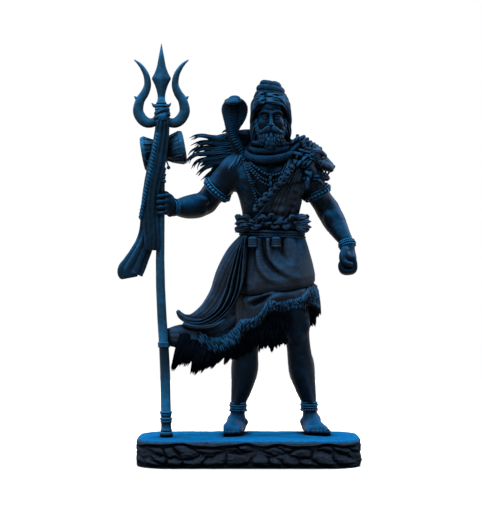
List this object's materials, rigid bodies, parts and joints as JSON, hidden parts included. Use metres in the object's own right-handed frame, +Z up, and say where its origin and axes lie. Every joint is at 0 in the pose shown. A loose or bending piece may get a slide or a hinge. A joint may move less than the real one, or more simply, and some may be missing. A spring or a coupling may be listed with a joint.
{
  "type": "figurine",
  "caption": "Cast statuette of Shiva, standing on a rock base and holding a trident with a drum and a scarf.",
  "frame": {"origin": "middle of the flat underside of the base", "axes": "+Z up, the figure faces -Y, and the trident is on its right hand's side, towards -X"},
  "size_m": [0.2298, 0.0999, 0.3939],
  "materials": {
    "rock": "matte, blue-black, brighter blue on top",
    "figure": "satin, blue-black",
    "trident": "satin, blue-black"
  },
  "bodies": {
    "root": {"rock_base": "rock", "shiva_figure": "figure", "trident": "trident"}
  },
  "joints": []
}
